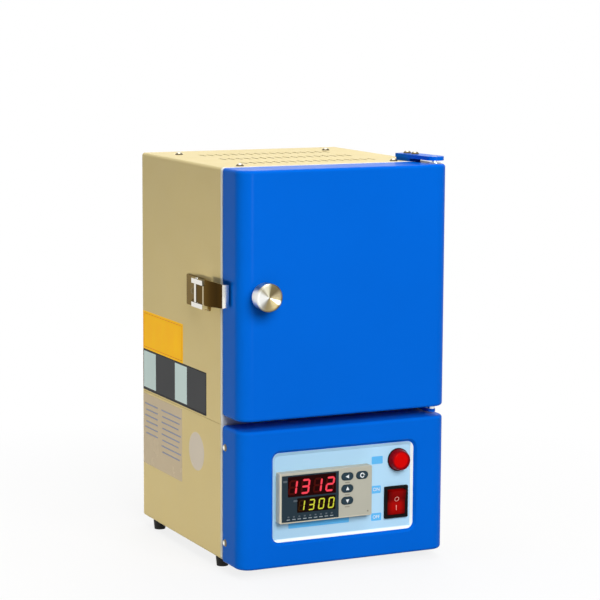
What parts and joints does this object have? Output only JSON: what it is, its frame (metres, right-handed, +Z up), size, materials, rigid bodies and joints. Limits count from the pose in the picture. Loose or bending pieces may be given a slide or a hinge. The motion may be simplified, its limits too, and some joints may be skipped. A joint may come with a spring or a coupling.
{
  "type": "muffle furnace",
  "caption": "Small bench-top muffle furnace with a side-hung blue door, cream casing, temperature controller, red lamp and rocker switch.",
  "frame": {"origin": "on the bench, under the centre of the outline box, at the bottom of the rubber feet", "axes": "+Z up, +Y towards the rear cover, so the door faces -Y; +X towards the door's hinges"},
  "size_m": [0.2272, 0.2666, 0.3895],
  "materials": {
    "cream_paint": "semi-gloss cream powder coat",
    "blue_paint": "gloss blue enamel",
    "zinc_sheet": "bright zinc-plated sheet",
    "insulation_board": "matt vacuum-formed fibre board",
    "hearth_ceramic": "matt fired ceramic",
    "heating_rod": "oxidised resistance alloy",
    "thermocouple": "glazed ceramic sheath",
    "brass": "plain machined brass",
    "black_rubber": "matt moulded rubber",
    "bright_screw": "bright plated steel",
    "pin_steel": "ground steel",
    "bush_bronze": "plain bearing bronze",
    "knob_aluminium": "turned and polished",
    "latch_chrome": "polished chrome plate",
    "pale_blue_panel": "satin pale blue",
    "bezel_grey": "satin warm grey moulding",
    "display_glass": "gloss dark window",
    "key_slate": "satin slate rubber keys",
    "black_plastic": "satin black moulding",
    "red_lens": "clear red lens",
    "red_rocker": "translucent red rocker"
  },
  "bodies": {
    "casing": {"control_panel": "blue_paint", "controller_bezel": "bezel_grey", "controller_clips": "black_plastic", "controller_glass": "display_glass", "controller_housing": "black_plastic", "divider": "zinc_sheet", "element_clamps": "brass", "front_frame": "cream_paint", "fuse_holder": "black_plastic", "hearth_plate": "hearth_ceramic", "heating_element_left": "heating_rod", "heating_element_right": "heating_rod", "hinge_bar_lower": "blue_paint", "hinge_bar_upper": "blue_paint", "hinge_packer": "blue_paint", "hinge_pin_lower": "pin_steel", "hinge_pin_upper": "pin_steel", "hinge_screws": "bright_screw", "indicator_body": "black_plastic", "indicator_lens": "red_lens", "indicator_nut": "black_plastic", "inlet_blades": "brass", "insulation_floor": "insulation_board", "insulation_left": "insulation_board", "insulation_rear": "insulation_board", "insulation_right": "insulation_board", "insulation_roof": "insulation_board", "latch_base": "latch_chrome", "latch_pin": "latch_chrome", "latch_screws": "bright_screw", "lower_casing": "cream_paint", "lower_front_frame": "cream_paint", "mains_inlet": "black_plastic", "mouth_seal": "insulation_board", "panel_brackets": "zinc_sheet", "panel_plate": "pale_blue_panel", "panel_screws": "bright_screw", "power_relay": "black_plastic", "rear_cover": "cream_paint", "rear_panel": "cream_paint", "rear_screws": "bright_screw", "rubber_feet": "black_rubber", "switch_body": "black_plastic", "terminal_strip": "black_plastic", "thermocouple": "thermocouple", "top_screws": "bright_screw", "upper_casing": "cream_paint"},
    "door": {"door_shell": "blue_paint", "door_back_plate": "zinc_sheet", "door_core": "insulation_board", "door_plug": "insulation_board", "door_bushes": "bush_bronze", "door_knob": "knob_aluminium", "knob_stud": "bright_screw"},
    "latch": {"latch_lever": "latch_chrome"},
    "rocker": {"switch_rocker": "red_rocker"},
    "shift_key": {"key_shift": "key_slate"},
    "up_key": {"key_up": "key_slate"},
    "down_key": {"key_down": "key_slate"},
    "cycle_key": {"key_cycle": "key_slate"}
  },
  "joints": [
    {"name": "door_swing", "type": "hinge", "parent": "casing", "child": "door", "pos_m": [0.1033, -0.0977, 0.2643], "axis": [0, 0, 1], "range_deg": [0, 180]},
    {"name": "latch_swing", "type": "hinge", "parent": "casing", "child": "latch", "pos_m": [-0.1101, -0.0257, 0.258], "axis": [0, 0, -1], "range_deg": [0, 100]},
    {"name": "switch_tilt", "type": "hinge", "parent": "casing", "child": "rocker", "pos_m": [0.0588, -0.1093, 0.0593], "axis": [-1, 0, 0], "range_deg": [0, 14]},
    {"name": "shift_key_press", "type": "slide", "parent": "casing", "child": "shift_key", "axis": [0, 1, 0], "range_m": [0, 0.0005], "stiffness_N_per_m": 400},
    {"name": "up_key_press", "type": "slide", "parent": "casing", "child": "up_key", "axis": [0, 1, 0], "range_m": [0, 0.0005], "stiffness_N_per_m": 400},
    {"name": "down_key_press", "type": "slide", "parent": "casing", "child": "down_key", "axis": [0, 1, 0], "range_m": [0, 0.0005], "stiffness_N_per_m": 400},
    {"name": "cycle_key_press", "type": "slide", "parent": "casing", "child": "cycle_key", "axis": [0, 1, 0], "range_m": [0, 0.0005], "stiffness_N_per_m": 400}
  ]
}
